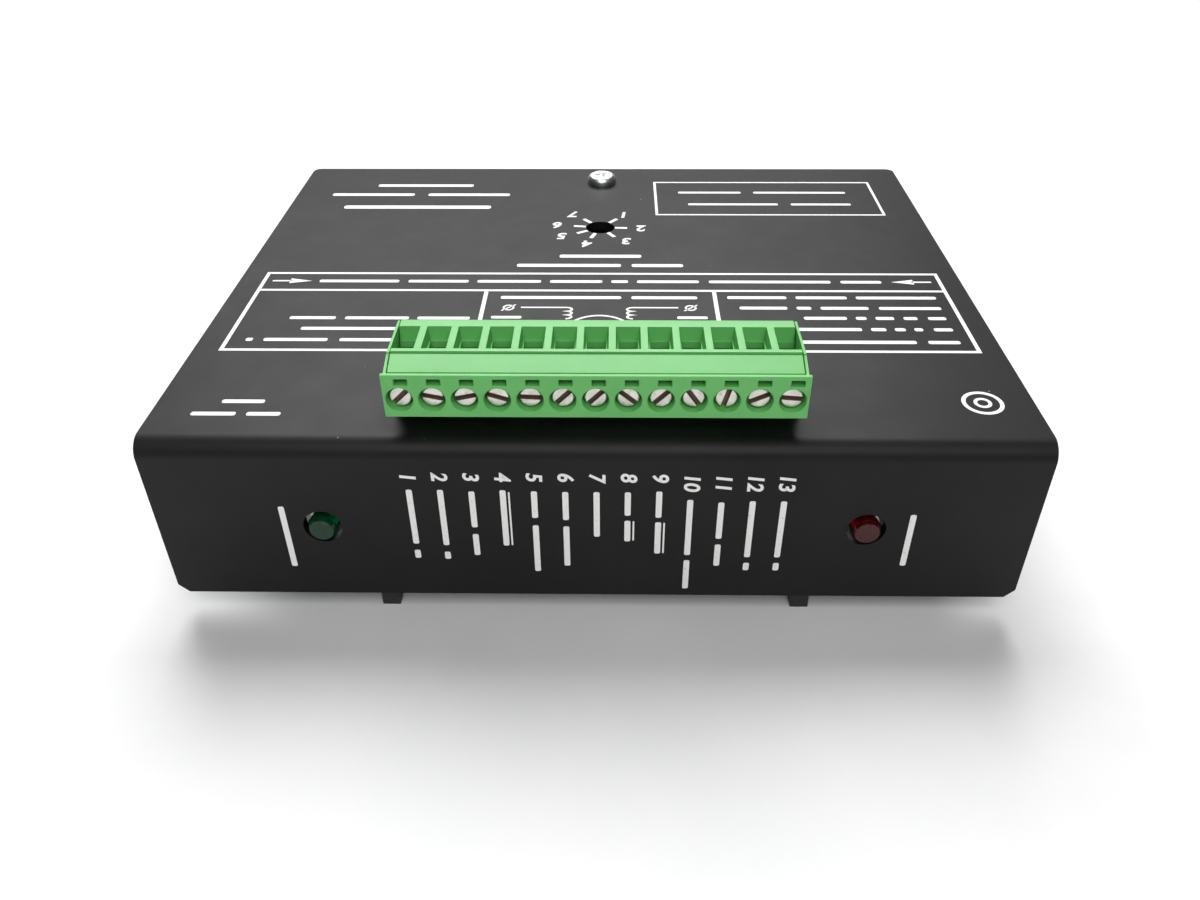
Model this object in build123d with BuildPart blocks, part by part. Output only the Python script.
from build123d import *
import os

os.makedirs("parts", exist_ok=True)

# Stepper driver module: an L-shaped sheet cover over a circuit board, on a U-shaped heat sink.
# A 13-pole pluggable terminal block stands up through a slot in the cover's top plate.
# Millimetres. +Z is up, the front flange faces -Y, and z = 0 is the underside of the heat sink.

# Cover sheet
cover_width = 146.0
cover_depth = 119.6
sheet = 2.0
flange_bottom = 4.7
cover_top = 36.8
bend_radius = 3.2
flange_corner = 1.7
rear_corner = 1.9
lamp_proud = 0.95  # how far the indicator lamps stand out of the flange
front_y = lamp_proud - (cover_depth + lamp_proud) / 2
cover_under = cover_top - sheet

# Heat sink channel
channel_width = 76.2
channel_height = 12.7
channel_wall = 3.175
channel_start = 2.0
channel_end = 117.5
web_under = channel_height - channel_wall
mount_hole_r = 2.25
mount_x = 18.0
mount_depths = (30.0, 92.0)

# Circuit board
board_width = 139.0
board_start = 5.5
board_end = 105.0
board_under = 26.5
board_thickness = 1.6
board_top = board_under + board_thickness
lead_hole_r = 0.6
tail = 0.9  # how far leads stand out of the far side of the board

# Terminal block
poles = 13
pitch = 5.08
block_x = 0.45  # the terminal block stands slightly to the right of the middle
pole_xs = [block_x + (number - (poles - 1) / 2) * pitch for number in range(poles)]
header_middle = 13.3  # depth of the pin row behind the flange face
header_length = 66.0
header_thickness = 8.6
header_height = 11.9
header_end_wall = 0.9
header_side_wall = 1.15
header_floor = 3.0
header_top = board_top + header_height
pin_side = 1.0
pin_top = 38.0
slot_margin = 0.4

# Terminal plug
plug_front = 2.9
plug_back = 17.7
plug_width = 66.04
plug_bottom = 40.2
face_top = 47.8
plug_top = 49.4
cheek_x = 32.6
insert_x = 32.0
lip = 0.12  # small slope along the top of the screw wall and round its holes
insert_start = plug_front + 0.75
band_top = plug_top - 0.35
insert_gap = 0.15
insert_clearance = 0.07
insert_rise = 0.1  # step from the lip up to the slanted band
band_groove = 0.35  # groove between the band and the funnel block
groove_width = 0.2
tongue_x = 31.95
tongue_thickness = 6.0
tongue_bottom = 32.2
face_end = 5.7  # depth where the screw wall ends and the clamp chambers begin
chamber_end = 15.7
chamber_half = 2.0
chamber_bottom = 41.0
chamber_top = 45.9
screw_z = 43.35
screw_hole_r = 2.1
head_r = 1.8
head_depth = 1.3
head_recess = 1.0
shank_r = 1.25
shank_hole_r = 1.4
test_slot_z = 46.5
test_slot_shift = 0.5
test_slot_width = 2.1
test_slot_height = 1.05
test_slot_depth = 2.2
nub_xs = (-27.0, 28.2)
nub_side = 1.6
nub_height = 0.6
mouth_start = 8.5
mouth_end = 15.5
mouth_half = 1.95
funnel_depth = 2.2
throat_start = 10.0
throat_end = 14.6
throat_half = 1.55
band_end = 7.4

# Clamp cages
cage_half = 1.85
cage_start = 7.4
cage_end = 15.4
cage_bottom = 41.65
cage_top = 45.45
cage_front_wall = 1.1
cage_back_wall = 0.8
cage_side_wall = 0.45
slot_width = 0.85
slot_depth = 0.95
slot_angles = (45, -12, 12, -18, -3, 45, 45, -40, 45, -55, 75, 25, -5)

# Lamps, trimmer and rear screw
lamp_x = 45.2
lamp_z = 19.9
lamp_hole_r = 3.25
lamp_r = 2.5
lamp_flat_r = 2.02
lamp_length = 8.6
lamp_lead_x = 1.27
lamp_lead_depth = 10.2
dial_depth = 83.4
dial_hole_r = 3.175
trimmer_side = 9.6
trimmer_height = 4.6
rotor_r = 2.3
rotor_gap = 0.08
rear_screw_depth = 110.5
rear_screw_head_r = 3.43

# Fasteners inside
board_post_x = 31.0
board_post_depths = (24.5, 98.0)
bracket_half = 10.0
bracket_sheet = 1.5
stud_x = 6.0
stud_z = 18.0
foot_screw_depth = 10.5

# Power transistors on the heat sink
transistor_depths = (46.0, 61.0, 76.0)
tab_hole_x = 11.0
pad_thickness = 0.3
tab_thickness = 1.3
body_start_x = 14.2
body_end_x = 23.6
riser_x = 27.6
transistor_half = 5.0


def y_at(depth):
    """Y of a place that lies this far behind the flange's front face."""
    return front_y + depth


def mirrored(x, depths):
    """Places on the XY plane at both sides of the middle, for each depth."""
    return [(side * x, y_at(depth)) for side in (-1, 1) for depth in depths]


def facing_front(depth):
    """A plane across the object at this depth, facing the front, with x and z as its axes."""
    return Plane.XZ.offset(-y_at(depth))


# Cover: top plate and front flange bent from one sheet
with BuildPart() as cover:
    with BuildSketch(Plane.YZ):
        with BuildLine():
            Polyline(
                (y_at(0), flange_bottom),
                (y_at(0), cover_top),
                (y_at(cover_depth), cover_top),
                (y_at(cover_depth), cover_under),
                (y_at(sheet), cover_under),
                (y_at(sheet), flange_bottom),
                close=True,
            )
        make_face()
    extrude(amount=cover_width / 2, both=True)
    bends = cover.edges().filter_by(Axis.X)
    outer_bend = [e for e in bends if abs(e.center().Y - y_at(0)) < 0.01 and e.center().Z > cover_under]
    fillet(outer_bend, bend_radius)
    inner_bend = [
        e
        for e in cover.edges().filter_by(Axis.X)
        if abs(e.center().Y - y_at(sheet)) < 0.01 and abs(e.center().Z - cover_under) < 0.01
    ]
    fillet(inner_bend, bend_radius - sheet)
    low_corners = [
        e for e in cover.edges().filter_by(Axis.Y) if abs(e.center().Z - flange_bottom) < 0.01
    ]
    chamfer(low_corners, flange_corner)
    rear_corners = [
        e for e in cover.edges().filter_by(Axis.Z) if abs(e.center().Y - y_at(cover_depth)) < 0.01
    ]
    fillet(rear_corners, rear_corner)
    with BuildSketch(facing_front(0)):
        with Locations((-lamp_x, lamp_z), (lamp_x, lamp_z)):
            Circle(lamp_hole_r)
    extrude(amount=-sheet, mode=Mode.SUBTRACT)
    with BuildSketch(Plane.XY.offset(cover_top)):
        with Locations((0, y_at(dial_depth))):
            Circle(dial_hole_r)
        with Locations((0, y_at(rear_screw_depth))):
            Circle(1.95)
        with Locations((block_x, y_at(header_middle))):
            Rectangle(header_length + 2 * slot_margin, header_thickness + 2 * slot_margin)
    extrude(amount=-sheet, mode=Mode.SUBTRACT)
cover.part.label = "cover"
export_step(cover.part, "parts/cover.step")

# Heat sink: a black aluminium channel, legs down
with BuildPart() as heatsink_channel:
    with BuildSketch(facing_front(channel_start)):
        with BuildLine():
            half = channel_width / 2
            Polyline(
                (-half, 0),
                (-half, channel_height),
                (half, channel_height),
                (half, 0),
                (half - channel_wall, 0),
                (half - channel_wall, web_under),
                (channel_wall - half, web_under),
                (channel_wall - half, 0),
                close=True,
            )
        make_face()
    extrude(amount=channel_start - channel_end)
    long_edges = heatsink_channel.edges().filter_by(Axis.Y)
    outer_corners = [e for e in long_edges if e.center().Z > channel_height - 0.01]
    fillet(outer_corners, 0.8)
    inner_corners = [
        e for e in heatsink_channel.edges().filter_by(Axis.Y) if abs(e.center().Z - web_under) < 0.01
    ]
    fillet(inner_corners, 1.2)
    with BuildSketch(Plane.XY.offset(channel_height)):
        with Locations(*mirrored(mount_x, mount_depths)):
            Circle(mount_hole_r)
        with Locations(*mirrored(board_post_x, board_post_depths)):
            Circle(1.3)
        with Locations((0, y_at(rear_screw_depth))):
            Circle(1.3)
        with Locations(*mirrored(stud_x, (foot_screw_depth,))):
            Circle(1.3)
        with Locations(*mirrored(tab_hole_x, transistor_depths)):
            Circle(1.3)
    extrude(amount=-channel_wall, mode=Mode.SUBTRACT)
heatsink_channel.part.label = "heatsink_channel"
export_step(heatsink_channel.part, "parts/heatsink_channel.step")

# Parts under the board: where their leads pass through it
capacitor_places = [(-54.0, 42.0), (-54.0, 60.0), (54.0, 42.0)]
capacitor_r = 6.3
capacitor_length = 16.0
capacitor_lead_x = 2.5
diode_places = [(-50.0, 77.0), (-50.0, 94.0), (50.0, 60.0), (58.0, 60.0)]
diode_half = 4.6
diode_r = 2.6
diode_lead_y = 7.6
diode_z = 23.2
resistor_places = [(50.0, 84.0), (60.0, 84.0), (-60.0, 86.0)]
resistor_half = 10.5
resistor_side = 8.0
resistor_lead_y = 13.0
resistor_z = board_under - resistor_side / 2 - 1.0
small_resistor_places = [(x, depth) for x in (-14.0, -10.0, 10.0, 14.0) for depth in (31.0,)]
small_half = 3.2
small_r = 1.2
small_lead_y = 5.1
small_z = board_under - small_r - 0.2
ic_depths = (48.0, 68.0)
ic_pins = 8
ic_pin_pitch = 2.54
ic_pin_x = 3.81
ic_half_length = 9.7
ic_half_width = 3.2


def ends(places, reach):
    """Lead places in front of and behind each part."""
    return [(x, y_at(depth) + side * reach) for x, depth in places for side in (-1, 1)]


ic_leads = [
    (side * ic_pin_x, y_at(depth) + (pin - (ic_pins - 1) / 2) * ic_pin_pitch)
    for side in (-1, 1)
    for depth in ic_depths
    for pin in range(ic_pins)
]
transistor_leads_at = [
    (side * riser_x, y_at(depth) + lead * 2.54)
    for side in (-1, 1)
    for depth in transistor_depths
    for lead in (-1, 0, 1)
]
capacitor_leads = [
    (x + side * capacitor_lead_x, y_at(depth)) for x, depth in capacitor_places for side in (-1, 1)
]
lamp_leads = [
    (side * lamp_x + lead * lamp_lead_x, y_at(lamp_lead_depth)) for side in (-1, 1) for lead in (-1, 1)
]
trimmer_leads = [(x, y_at(dial_depth) + 2.5 * (1 - abs(x) / 2.5)) for x in (-2.5, 0.0, 2.5)]

with BuildPart() as circuit_board:
    with BuildSketch(Plane.XY.offset(board_under)):
        with Locations((0, y_at((board_start + board_end) / 2))):
            Rectangle(board_width, board_end - board_start)
        with Locations(*mirrored(board_post_x, board_post_depths)):
            Circle(1.7, mode=Mode.SUBTRACT)
        with Locations(*[(x, y_at(header_middle)) for x in pole_xs]):
            Circle(0.75, mode=Mode.SUBTRACT)
        every_lead = ic_leads + transistor_leads_at + capacitor_leads + lamp_leads + trimmer_leads
        every_lead = every_lead + ends(diode_places, diode_lead_y)
        every_lead = every_lead + ends(resistor_places, resistor_lead_y)
        every_lead = every_lead + ends(small_resistor_places, small_lead_y)
        with Locations(*every_lead):
            Circle(lead_hole_r, mode=Mode.SUBTRACT)
    extrude(amount=board_thickness)
circuit_board.part.label = "circuit_board"
export_step(circuit_board.part, "parts/circuit_board.step")

# Board-side half of the terminal block
with BuildPart() as terminal_header:
    with BuildSketch(Plane.XY.offset(board_top)):
        with Locations((block_x, y_at(header_middle))):
            Rectangle(header_length, header_thickness)
    extrude(amount=header_height)
    with BuildSketch(Plane.XY.offset(header_top)):
        with Locations((block_x, y_at(header_middle))):
            Rectangle(header_length - 2 * header_end_wall, header_thickness - 2 * header_side_wall)
    extrude(amount=header_floor - header_height, mode=Mode.SUBTRACT)
    with BuildSketch(Plane.XY.offset(board_top)):
        with Locations(*[(x, y_at(header_middle)) for x in pole_xs]):
            Rectangle(pin_side, pin_side)
    extrude(amount=header_floor, mode=Mode.SUBTRACT)
terminal_header.part.label = "terminal_header"
export_step(terminal_header.part, "parts/terminal_header.step")

with BuildPart() as header_pins:
    with BuildSketch(Plane.XY.offset(board_under - 1.5)):
        with Locations(*[(x, y_at(header_middle)) for x in pole_xs]):
            Rectangle(pin_side, pin_side)
    extrude(amount=pin_top - board_under + 1.5)
    pin_tips = [e for e in header_pins.edges() if e.center().Z > pin_top - 0.01]
    chamfer(pin_tips, 0.25)
header_pins.part.label = "header_pins"
export_step(header_pins.part, "parts/header_pins.step")

# Plug housing: screw wall, clamp chambers, thin end cheeks and the tongue that enters the header
with BuildPart() as plug_housing:
    with BuildSketch(Plane.XY.offset(plug_bottom)):
        with Locations((block_x, y_at((plug_front + insert_start) / 2))):
            Rectangle(plug_width, insert_start - plug_front)
    extrude(amount=face_top - plug_bottom)
    face_lip = [
        e
        for e in plug_housing.edges().filter_by(Axis.X)
        if e.center().Z > face_top - 0.01 and e.center().Y < y_at(plug_front) + 0.01
    ]
    chamfer(face_lip, lip)
    with BuildSketch(Plane.XY.offset(plug_bottom)):
        with Locations((block_x, y_at((insert_start + plug_back) / 2))):
            Rectangle(2 * cheek_x, plug_back - insert_start)
    extrude(amount=plug_top - 0.15 - plug_bottom)
    with BuildSketch(Plane.XY.offset(plug_bottom)):
        with Locations((block_x, y_at(header_middle))):
            Rectangle(2 * tongue_x, tongue_thickness)
    extrude(amount=tongue_bottom - plug_bottom)
    # Seat of the insert, open upwards between the cheeks
    with BuildSketch(Plane.YZ.offset(block_x)):
        with BuildLine():
            Polyline(
                (y_at(insert_start), face_top + 2),
                (y_at(insert_start), face_top - 1.0),
                (y_at(face_end), face_top - 1.0),
                (y_at(face_end), chamber_top),
                (y_at(plug_back + 1), chamber_top),
                (y_at(plug_back + 1), face_top + 2),
                close=True,
            )
        make_face()
    extrude(amount=insert_x + insert_gap, both=True, mode=Mode.SUBTRACT)
    # The cheeks slope down to the screw wall like the band between them
    with BuildSketch(Plane.YZ.offset(block_x)):
        with BuildLine():
            Polyline(
                (y_at(insert_start), face_top),
                (y_at(band_end), band_top),
                (y_at(band_end), plug_top + 1),
                (y_at(insert_start), plug_top + 1),
                close=True,
            )
        make_face()
    extrude(amount=cheek_x + 1, both=True, mode=Mode.SUBTRACT)
    # Clamp chambers
    with BuildSketch(Plane.XY.offset(chamber_bottom)):
        with Locations(*[(x, y_at((face_end + chamber_end) / 2)) for x in pole_xs]):
            Rectangle(2 * chamber_half, chamber_end - face_end)
    extrude(amount=chamber_top - chamber_bottom, mode=Mode.SUBTRACT)
    # Screw holes: wide for the head, narrow for the shank
    with BuildSketch(facing_front(plug_front)):
        with Locations(*[(x, screw_z) for x in pole_xs]):
            Circle(screw_hole_r)
    extrude(amount=-head_recess - head_depth, mode=Mode.SUBTRACT)
    with BuildSketch(facing_front(plug_front + head_recess + head_depth)):
        with Locations(*[(x, screw_z) for x in pole_xs]):
            Circle(shank_hole_r)
    extrude(amount=plug_front + head_recess + head_depth - face_end, mode=Mode.SUBTRACT)
    hole_rims = [
        e
        for e in plug_housing.edges().filter_by(GeomType.CIRCLE)
        if abs(e.center().Y - y_at(plug_front)) < 0.01
    ]
    chamfer(hole_rims, lip)
    # Test slots above the screws
    with BuildSketch(facing_front(plug_front)):
        with Locations(*[(x + test_slot_shift, test_slot_z) for x in pole_xs]):
            Rectangle(test_slot_width, test_slot_height)
    extrude(amount=-test_slot_depth, mode=Mode.SUBTRACT)
    slot_rims = [
        e
        for e in plug_housing.edges()
        if abs(e.center().Y - y_at(plug_front)) < 0.01 and abs(e.center().Z - test_slot_z) < test_slot_height
    ]
    chamfer([e for e in slot_rims if e.length < 2 * test_slot_width], lip)
    # Contact cavities through the tongue, open downwards
    with BuildSketch(Plane.XY.offset(tongue_bottom)):
        with Locations(*[(x, y_at(header_middle)) for x in pole_xs]):
            Rectangle(1.8, 3.2)
    extrude(amount=chamber_bottom - tongue_bottom, mode=Mode.SUBTRACT)
    # Two keying nubs under the screw wall
    with BuildSketch(Plane.XY.offset(plug_bottom)):
        with Locations(*[(x, y_at(face_end - nub_side / 2)) for x in nub_xs]):
            Rectangle(nub_side, nub_side)
    extrude(amount=-nub_height)
plug_housing.part.label = "plug_housing"
export_step(plug_housing.part, "parts/plug_housing.step")

# Plug insert: the slanted band and the wire funnels
with BuildPart() as plug_wire_guide:
    with BuildSketch(Plane.YZ.offset(block_x)):
        with BuildLine():
            Polyline(
                (y_at(insert_start + insert_clearance), face_top - 1.0),
                (y_at(insert_start + insert_clearance), face_top + insert_rise),
                (y_at(band_end), band_top),
                (y_at(band_end), band_top - band_groove),
                (y_at(band_end + groove_width), band_top - band_groove),
                (y_at(band_end + groove_width), plug_top),
                (y_at(plug_back), plug_top),
                (y_at(plug_back), chamber_top),
                (y_at(face_end), chamber_top),
                (y_at(face_end), face_top - 1.0),
                close=True,
            )
        make_face()
    extrude(amount=insert_x, both=True)
    for x in pole_xs:
        with BuildSketch(Plane.XY.offset(plug_top)):
            with Locations((x, y_at((mouth_start + mouth_end) / 2))):
                Rectangle(2 * mouth_half, mouth_end - mouth_start)
        with BuildSketch(Plane.XY.offset(plug_top - funnel_depth)):
            with Locations((x, y_at((mouth_start + mouth_end) / 2 + 0.2))):
                Rectangle(2 * mouth_half - 0.4, mouth_end - mouth_start - 1.4)
        loft(mode=Mode.SUBTRACT)
    with BuildSketch(Plane.XY.offset(plug_top)):
        with Locations(*[(x, y_at((throat_start + throat_end) / 2)) for x in pole_xs]):
            Rectangle(2 * throat_half, throat_end - throat_start)
    extrude(amount=chamber_top - plug_top, mode=Mode.SUBTRACT)
plug_wire_guide.part.label = "plug_wire_guide"
export_step(plug_wire_guide.part, "parts/plug_wire_guide.step")

# Plug contacts: a bar inside each cage, a foot on the chamber floor and two leaves around the pin
bar_front = 9.1
bar_back = 9.8
leaf = 0.4
with BuildPart() as plug_contacts:
    with BuildSketch(Plane.XY.offset(chamber_bottom)):
        for x in pole_xs:
            with Locations((x, y_at((bar_front + header_middle + 1.1) / 2))):
                Rectangle(2.2, header_middle + 1.1 - bar_front)
    extrude(amount=0.5)
    with BuildSketch(Plane.XY.offset(chamber_bottom)):
        for x in pole_xs:
            with Locations((x, y_at((bar_front + bar_back) / 2))):
                Rectangle(2.2, bar_back - bar_front)
    extrude(amount=cage_top - chamber_bottom)
    with BuildSketch(Plane.XY.offset(chamber_bottom)):
        for x in pole_xs:
            for side in (-1, 1):
                with Locations((x, y_at(header_middle + side * 0.9))):
                    Rectangle(1.5, leaf)
    extrude(amount=tongue_bottom + 0.8 - chamber_bottom)
plug_contacts.part.label = "plug_contacts"
export_step(plug_contacts.part, "parts/plug_contacts.step")

# One clamp screw and one cage at each pole
head_front = plug_front + head_recess
for number, (pole_x, angle) in enumerate(zip(pole_xs, slot_angles), start=1):
    with BuildPart() as clamp_screw:
        with BuildSketch(facing_front(head_front)):
            with Locations((pole_x, screw_z)):
                Circle(head_r)
        extrude(amount=-head_depth + 0.05)
        rim = [e for e in clamp_screw.edges() if e.center().Y < y_at(head_front) + 0.01]
        chamfer(rim, 0.2)
        with BuildSketch(facing_front(head_front)):
            with Locations((pole_x, screw_z)):
                Circle(shank_r)
        extrude(amount=head_front - bar_front + 0.1)
        with BuildSketch(facing_front(head_front)):
            with Locations(Location((pole_x, screw_z), angle)):
                Rectangle(2 * head_r + 0.2, slot_width)
        extrude(amount=-slot_depth, mode=Mode.SUBTRACT)
    clamp_screw.part.label = f"clamp_screw_{number:02d}"
    export_step(clamp_screw.part, f"parts/clamp_screw_{number:02d}.step")

    with BuildPart() as clamp_cage:
        with BuildSketch(Plane.XY.offset(cage_bottom)):
            with Locations((pole_x, y_at((cage_start + cage_end) / 2))):
                Rectangle(2 * cage_half, cage_end - cage_start)
            inside_start = cage_start + cage_front_wall
            inside_end = cage_end - cage_back_wall
            with Locations((pole_x, y_at((inside_start + inside_end) / 2))):
                Rectangle(
                    2 * (cage_half - cage_side_wall), inside_end - inside_start, mode=Mode.SUBTRACT
                )
        extrude(amount=cage_top - cage_bottom)
        with BuildSketch(facing_front(cage_start)):
            with Locations((pole_x, screw_z)):
                Circle(shank_r + 0.08)
        extrude(amount=-cage_front_wall, mode=Mode.SUBTRACT)
    clamp_cage.part.label = f"clamp_cage_{number:02d}"
    export_step(clamp_cage.part, f"parts/clamp_cage_{number:02d}.step")

# Rear cover screw: a pan head with a cross recess
with BuildPart() as cover_screw:
    with BuildSketch(Plane.XY.offset(cover_top)):
        with Locations((0, y_at(rear_screw_depth))):
            Circle(rear_screw_head_r)
    extrude(amount=2.1)
    crown = [e for e in cover_screw.edges() if e.center().Z > cover_top + 2.0]
    fillet(crown, 1.3)
    with BuildSketch(Plane.XY.offset(cover_top)):
        with Locations((0, y_at(rear_screw_depth))):
            Circle(1.6)
    extrude(amount=-10.0)
    for turn in (0, 90):
        with BuildSketch(Plane.XY.offset(cover_top + 2.1)):
            with Locations(Location((0, y_at(rear_screw_depth)), turn + 20)):
                Rectangle(3.6, 0.9)
        with BuildSketch(Plane.XY.offset(cover_top + 0.6)):
            with Locations(Location((0, y_at(rear_screw_depth)), turn + 20)):
                Rectangle(1.4, 0.7)
        loft(mode=Mode.SUBTRACT)
cover_screw.part.label = "cover_screw"
export_step(cover_screw.part, "parts/cover_screw.step")


# Hexagonal posts between the heat sink, the board and the cover
with BuildPart() as cover_standoff:
    with BuildSketch(Plane.XY.offset(channel_height)):
        with Locations((0, y_at(rear_screw_depth))):
            RegularPolygon(3.175, 6, major_radius=False)
            Circle(1.7, mode=Mode.SUBTRACT)
    extrude(amount=cover_under - channel_height)
cover_standoff.part.label = "cover_standoff"
export_step(cover_standoff.part, "parts/cover_standoff.step")

with BuildPart() as board_standoffs:
    with BuildSketch(Plane.XY.offset(channel_height)):
        with Locations(*mirrored(board_post_x, board_post_depths)):
            RegularPolygon(3.0, 6, major_radius=False)
            Circle(1.3, mode=Mode.SUBTRACT)
    extrude(amount=board_under - channel_height)
board_standoffs.part.label = "board_standoffs"
export_step(board_standoffs.part, "parts/board_standoffs.step")

with BuildPart() as board_screws:
    with BuildSketch(Plane.XY.offset(board_top)):
        with Locations(*mirrored(board_post_x, board_post_depths)):
            Circle(2.75)
    extrude(amount=1.8)
    crowns = [e for e in board_screws.edges() if e.center().Z > board_top + 1.7]
    fillet(crowns, 0.8)
    with BuildSketch(Plane.XY.offset(board_top)):
        with Locations(*mirrored(board_post_x, board_post_depths)):
            Circle(1.25)
    extrude(amount=-7.0)
    with BuildSketch(Plane.XY.offset(board_top + 1.8)):
        with Locations(*mirrored(board_post_x, board_post_depths)):
            Rectangle(3.0, 0.7)
            Rectangle(0.7, 3.0)
    extrude(amount=-1.0, mode=Mode.SUBTRACT)
board_screws.part.label = "board_screws"
export_step(board_screws.part, "parts/board_screws.step")

# Screws that come up through the heat sink into the posts
post_places = mirrored(board_post_x, board_post_depths) + [(0, y_at(rear_screw_depth))]
with BuildPart() as standoff_screws:
    with BuildSketch(Plane.XY.offset(web_under)):
        with Locations(*post_places):
            Circle(1.9)
    extrude(amount=-1.6)
    crowns = [e for e in standoff_screws.edges() if e.center().Z < web_under - 1.5]
    fillet(crowns, 0.7)
    with BuildSketch(Plane.XY.offset(web_under)):
        with Locations(*post_places):
            Circle(1.25)
    extrude(amount=channel_wall + 6.0)
    with BuildSketch(Plane.XY.offset(web_under - 1.6)):
        with Locations(*post_places):
            Rectangle(2.2, 0.6)
            Rectangle(0.6, 2.2)
    extrude(amount=0.8, mode=Mode.SUBTRACT)
standoff_screws.part.label = "standoff_screws"
export_step(standoff_screws.part, "parts/standoff_screws.step")

# Bracket behind the flange, with its studs, nuts and foot screws
with BuildPart() as front_bracket:
    with BuildSketch(Plane.YZ):
        with BuildLine():
            Polyline(
                (y_at(sheet), channel_height),
                (y_at(sheet), 22.5),
                (y_at(sheet + bracket_sheet), 22.5),
                (y_at(sheet + bracket_sheet), channel_height + bracket_sheet),
                (y_at(14.5), channel_height + bracket_sheet),
                (y_at(14.5), channel_height),
                close=True,
            )
        make_face()
    extrude(amount=bracket_half, both=True)
    with BuildSketch(facing_front(sheet)):
        with Locations((-stud_x, stud_z), (stud_x, stud_z)):
            Circle(1.5)
    extrude(amount=-bracket_sheet, mode=Mode.SUBTRACT)
    with BuildSketch(Plane.XY.offset(channel_height)):
        with Locations(*mirrored(stud_x, (foot_screw_depth,))):
            Circle(1.5)
    extrude(amount=bracket_sheet, mode=Mode.SUBTRACT)
front_bracket.part.label = "front_bracket"
export_step(front_bracket.part, "parts/front_bracket.step")

with BuildPart() as clinch_studs:
    with BuildSketch(facing_front(sheet)):
        with Locations((-stud_x, stud_z), (stud_x, stud_z)):
            Circle(1.25)
    extrude(amount=-6.0)
clinch_studs.part.label = "clinch_studs"
export_step(clinch_studs.part, "parts/clinch_studs.step")

with BuildPart() as clinch_nuts:
    with BuildSketch(facing_front(sheet + bracket_sheet)):
        with Locations((-stud_x, stud_z), (stud_x, stud_z)):
            RegularPolygon(2.5, 6, major_radius=False)
            Circle(1.28, mode=Mode.SUBTRACT)
    extrude(amount=-2.0)
clinch_nuts.part.label = "clinch_nuts"
export_step(clinch_nuts.part, "parts/clinch_nuts.step")

foot_top = channel_height + bracket_sheet
with BuildPart() as bracket_screws:
    with BuildSketch(Plane.XY.offset(foot_top)):
        with Locations(*mirrored(stud_x, (foot_screw_depth,))):
            Circle(2.4)
    extrude(amount=1.6)
    crowns = [e for e in bracket_screws.edges() if e.center().Z > foot_top + 1.5]
    fillet(crowns, 0.7)
    with BuildSketch(Plane.XY.offset(foot_top)):
        with Locations(*mirrored(stud_x, (foot_screw_depth,))):
            Circle(1.25)
    extrude(amount=-bracket_sheet - channel_wall)
bracket_screws.part.label = "bracket_screws"
export_step(bracket_screws.part, "parts/bracket_screws.step")

# Indicator lamps: a short round body with a flat-topped dome, and two leads bent up to the board
for lamp_name, side in (("power_led", -1), ("fault_led", 1)):
    with BuildPart() as lamp:
        with BuildSketch(facing_front(lamp_length - lamp_proud)):
            with Locations((side * lamp_x, lamp_z)):
                Circle(lamp_r)
        extrude(amount=lamp_length)
        dome = [e for e in lamp.edges() if e.center().Y < y_at(0.01 - lamp_proud)]
        chamfer(dome, lamp_proud - 0.1, lamp_r - lamp_flat_r)
        with BuildSketch(facing_front(lamp_length - lamp_proud)):
            with Locations((side * lamp_x, lamp_z)):
                Circle(lamp_r + 0.4)
        extrude(amount=1.0)
    lamp.part.label = lamp_name
    export_step(lamp.part, f"parts/{lamp_name}.step")

    with BuildPart() as lamp_wires:
        with BuildSketch(facing_front(lamp_length - lamp_proud)):
            for lead in (-1, 1):
                with Locations((side * lamp_x + lead * lamp_lead_x, lamp_z)):
                    Rectangle(0.5, 0.5)
        extrude(amount=lamp_length - lamp_proud - lamp_lead_depth - 0.25)
        with BuildSketch(Plane.XY.offset(lamp_z - 0.25)):
            for lead in (-1, 1):
                with Locations((side * lamp_x + lead * lamp_lead_x, y_at(lamp_lead_depth))):
                    Rectangle(0.5, 0.5)
        extrude(amount=board_top + tail - lamp_z + 0.25)
    lamp_wires.part.label = f"{lamp_name}_leads"
    export_step(lamp_wires.part, f"parts/{lamp_name}_leads.step")

# Power transistors flat on the heat sink, their leads bent up to the board
pad_top = channel_height + pad_thickness
tab_top = pad_top + tab_thickness
transistor_rows = [(side, depth) for side in (-1, 1) for depth in transistor_depths]
tab_start_x = 7.6
body_length = body_end_x - body_start_x
lead_bottom = tab_top + 1.1
lead_thickness = 0.5

with BuildPart() as insulating_pads:
    with BuildSketch(Plane.XY.offset(channel_height)):
        for side, depth in transistor_rows:
            with Locations((side * (tab_start_x + body_end_x) / 2, y_at(depth))):
                Rectangle(body_end_x - tab_start_x + 1.6, 2 * transistor_half + 1.6)
            with Locations((side * tab_hole_x, y_at(depth))):
                Circle(1.85, mode=Mode.SUBTRACT)
    extrude(amount=pad_thickness)
insulating_pads.part.label = "insulating_pads"
export_step(insulating_pads.part, "parts/insulating_pads.step")

with BuildPart() as transistor_tabs:
    with BuildSketch(Plane.XY.offset(pad_top)):
        for side, depth in transistor_rows:
            with Locations((side * (tab_start_x + body_end_x) / 2, y_at(depth))):
                Rectangle(body_end_x - tab_start_x, 2 * transistor_half)
            with Locations((side * tab_hole_x, y_at(depth))):
                Circle(1.85, mode=Mode.SUBTRACT)
    extrude(amount=tab_thickness)
transistor_tabs.part.label = "transistor_tabs"
export_step(transistor_tabs.part, "parts/transistor_tabs.step")

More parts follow.
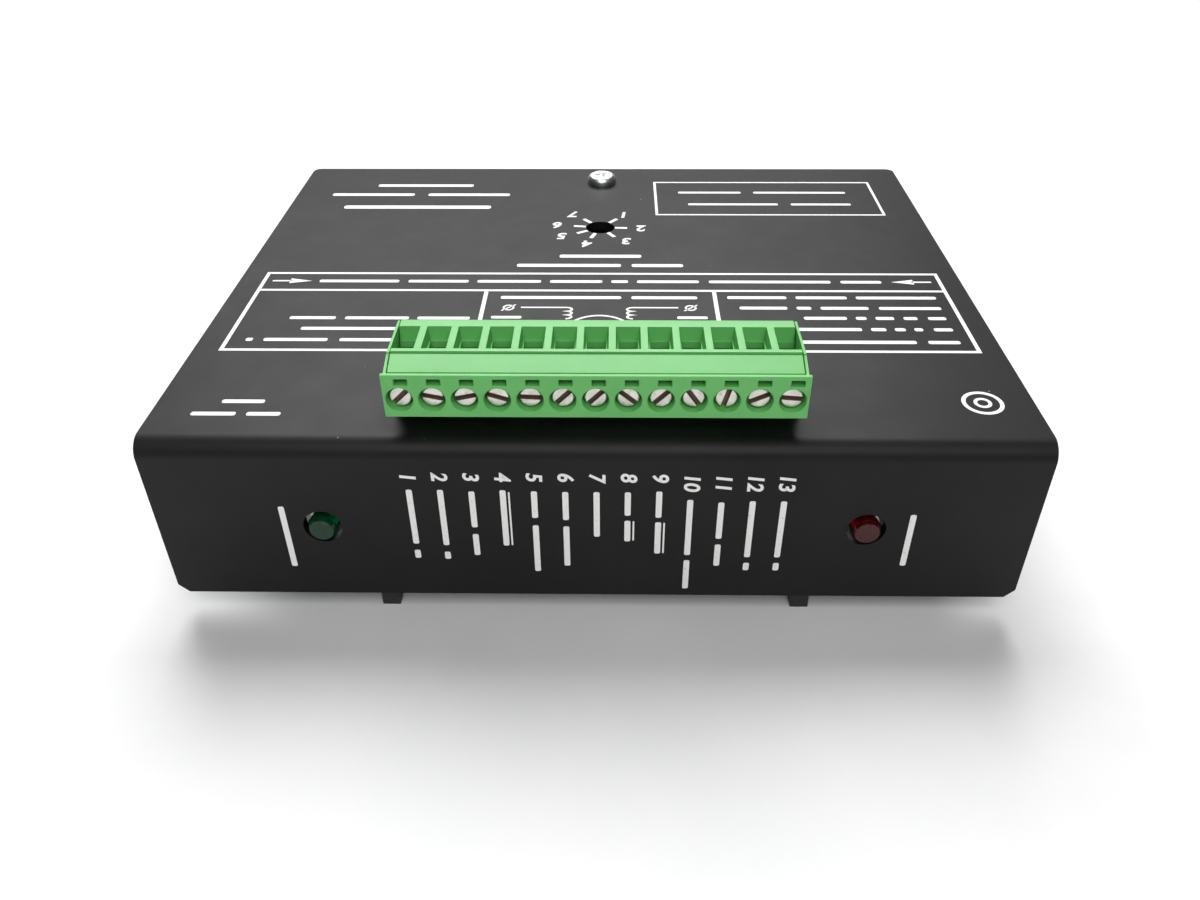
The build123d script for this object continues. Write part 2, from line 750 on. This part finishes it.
with BuildPart() as power_transistors:
    with BuildSketch(Plane.XY.offset(tab_top)):
        for side, depth in transistor_rows:
            with Locations((side * (body_start_x + body_end_x) / 2, y_at(depth))):
                Rectangle(body_length, 2 * transistor_half)
    extrude(amount=3.1)
    top_edges = [
        e
        for e in power_transistors.edges().filter_by(Axis.Y)
        if e.center().Z > tab_top + 3.0 and abs(e.center().X) < body_start_x + 0.1
    ]
    chamfer(top_edges, 0.6)
    with BuildSketch(Plane.XY.offset(lead_bottom)):
        for x, y in transistor_leads_at:
            with Locations((x - (x / abs(x)) * (riser_x - body_end_x + 1.0), y)):
                Rectangle(2.0, 0.8)
    extrude(amount=lead_thickness, mode=Mode.SUBTRACT)
power_transistors.part.label = "power_transistors"
export_step(power_transistors.part, "parts/power_transistors.step")

with BuildPart() as transistor_leads:
    with BuildSketch(Plane.XY.offset(lead_bottom)):
        for x, y in transistor_leads_at:
            side = x / abs(x)
            with Locations((side * (body_end_x + riser_x + 0.25) / 2, y)):
                Rectangle(riser_x + 0.25 - body_end_x, 0.8)
    extrude(amount=lead_thickness)
    with BuildSketch(Plane.XY.offset(lead_bottom)):
        with Locations(*transistor_leads_at):
            Rectangle(lead_thickness, 0.8)
    extrude(amount=board_top + tail - lead_bottom)
transistor_leads.part.label = "transistor_leads"
export_step(transistor_leads.part, "parts/transistor_leads.step")

with BuildPart() as transistor_screws:
    with BuildSketch(Plane.XY.offset(tab_top)):
        with Locations(*mirrored(tab_hole_x, transistor_depths)):
            Circle(2.75)
    extrude(amount=1.8)
    crowns = [e for e in transistor_screws.edges() if e.center().Z > tab_top + 1.7]
    fillet(crowns, 0.8)
    with BuildSketch(Plane.XY.offset(tab_top)):
        with Locations(*mirrored(tab_hole_x, transistor_depths)):
            Circle(1.25)
    extrude(amount=web_under - tab_top)
transistor_screws.part.label = "transistor_screws"
export_step(transistor_screws.part, "parts/transistor_screws.step")

# Tall parts hanging under the board
with BuildPart() as electrolytic_capacitors:
    with BuildSketch(Plane.XY.offset(board_under - 0.3)):
        with Locations(*[(x, y_at(depth)) for x, depth in capacitor_places]):
            Circle(capacitor_r)
    extrude(amount=-capacitor_length)
    ends_round = [
        e for e in electrolytic_capacitors.edges() if e.center().Z < board_under - capacitor_length
    ]
    fillet(ends_round, 0.8)
    with BuildSketch(Plane.XY.offset(board_under - 0.3)):
        with Locations(*capacitor_leads):
            Circle(0.35)
    extrude(amount=board_thickness + tail + 0.3)
electrolytic_capacitors.part.label = "electrolytic_capacitors"
export_step(electrolytic_capacitors.part, "parts/electrolytic_capacitors.step")

with BuildPart() as diodes:
    for x, depth in diode_places:
        with BuildSketch(facing_front(depth + diode_half)):
            with Locations((x, diode_z)):
                Circle(diode_r)
        extrude(amount=2 * diode_half)
        with BuildSketch(facing_front(depth + diode_lead_y + 0.45)):
            with Locations((x, diode_z)):
                Rectangle(0.8, 0.8)
        extrude(amount=2 * diode_lead_y + 0.9)
    with BuildSketch(Plane.XY.offset(diode_z - 0.4)):
        with Locations(*ends(diode_places, diode_lead_y)):
            Rectangle(0.8, 0.8)
    extrude(amount=board_top + tail - diode_z + 0.4)
diodes.part.label = "diodes"
export_step(diodes.part, "parts/diodes.step")

with BuildPart() as power_resistors:
    for x, depth in resistor_places:
        with BuildSketch(facing_front(depth + resistor_half)):
            with Locations((x, resistor_z)):
                Rectangle(resistor_side, resistor_side)
        extrude(amount=2 * resistor_half)
        with BuildSketch(facing_front(depth + resistor_lead_y + 0.35)):
            with Locations((x, resistor_z)):
                Rectangle(0.7, 0.7)
        extrude(amount=2 * resistor_lead_y + 0.7)
    with BuildSketch(Plane.XY.offset(resistor_z - 0.35)):
        with Locations(*ends(resistor_places, resistor_lead_y)):
            Rectangle(0.7, 0.7)
    extrude(amount=board_top + tail - resistor_z + 0.35)
power_resistors.part.label = "power_resistors"
export_step(power_resistors.part, "parts/power_resistors.step")

with BuildPart() as small_resistors:
    for x, depth in small_resistor_places:
        with BuildSketch(facing_front(depth + small_half)):
            with Locations((x, small_z)):
                Circle(small_r)
        extrude(amount=2 * small_half)
        with BuildSketch(facing_front(depth + small_lead_y + 0.25)):
            with Locations((x, small_z)):
                Rectangle(0.5, 0.5)
        extrude(amount=2 * small_lead_y + 0.5)
    with BuildSketch(Plane.XY.offset(small_z - 0.25)):
        with Locations(*ends(small_resistor_places, small_lead_y)):
            Rectangle(0.5, 0.5)
    extrude(amount=board_top + tail - small_z + 0.25)
small_resistors.part.label = "small_resistors"
export_step(small_resistors.part, "parts/small_resistors.step")

with BuildPart() as driver_ics:
    with BuildSketch(Plane.XY.offset(board_under - 0.5)):
        with Locations(*[(0, y_at(depth)) for depth in ic_depths]):
            Rectangle(2 * ic_half_width, 2 * ic_half_length)
    extrude(amount=-3.4)
    with BuildSketch(Plane.XY.offset(board_under - 2.4)):
        for x, y in ic_leads:
            side = x / abs(x)
            with Locations((side * (ic_half_width + ic_pin_x + 0.15) / 2, y)):
                Rectangle(ic_pin_x + 0.15 - ic_half_width, 0.9)
    extrude(amount=0.3)
    with BuildSketch(Plane.XY.offset(board_under - 2.4)):
        with Locations(*ic_leads):
            Rectangle(0.3, 0.9)
    extrude(amount=board_thickness + 2.4 + tail)
driver_ics.part.label = "driver_ics"
export_step(driver_ics.part, "parts/driver_ics.step")

# Current trimmer under the dial hole
rotor_bottom = board_top + 2.4
with BuildPart() as trimmer_body:
    with BuildSketch(Plane.XY.offset(board_top)):
        with Locations((0, y_at(dial_depth))):
            Rectangle(trimmer_side, trimmer_side)
    extrude(amount=trimmer_height)
    corners = trimmer_body.edges().filter_by(Axis.Z)
    chamfer(corners, 0.6)
    with BuildSketch(Plane.XY.offset(rotor_bottom)):
        with Locations((0, y_at(dial_depth))):
            Circle(rotor_r + rotor_gap)
    extrude(amount=trimmer_height, mode=Mode.SUBTRACT)
    with BuildSketch(Plane.XY.offset(board_top)):
        with Locations(*trimmer_leads):
            Rectangle(0.5, 0.5)
    extrude(amount=-board_thickness - tail)
trimmer_body.part.label = "trimmer_body"
export_step(trimmer_body.part, "parts/trimmer_body.step")

with BuildPart() as trimmer_rotor:
    with BuildSketch(Plane.XY.offset(rotor_bottom + 0.05)):
        with Locations((0, y_at(dial_depth))):
            Circle(rotor_r)
    extrude(amount=2.5)
    with BuildSketch(Plane.XY.offset(rotor_bottom + 2.55)):
        with Locations(Location((0, y_at(dial_depth)), -47)):
            Rectangle(3.6, 0.7)
    extrude(amount=-0.9, mode=Mode.SUBTRACT)
trimmer_rotor.part.label = "trimmer_rotor"
export_step(trimmer_rotor.part, "parts/trimmer_rotor.step")
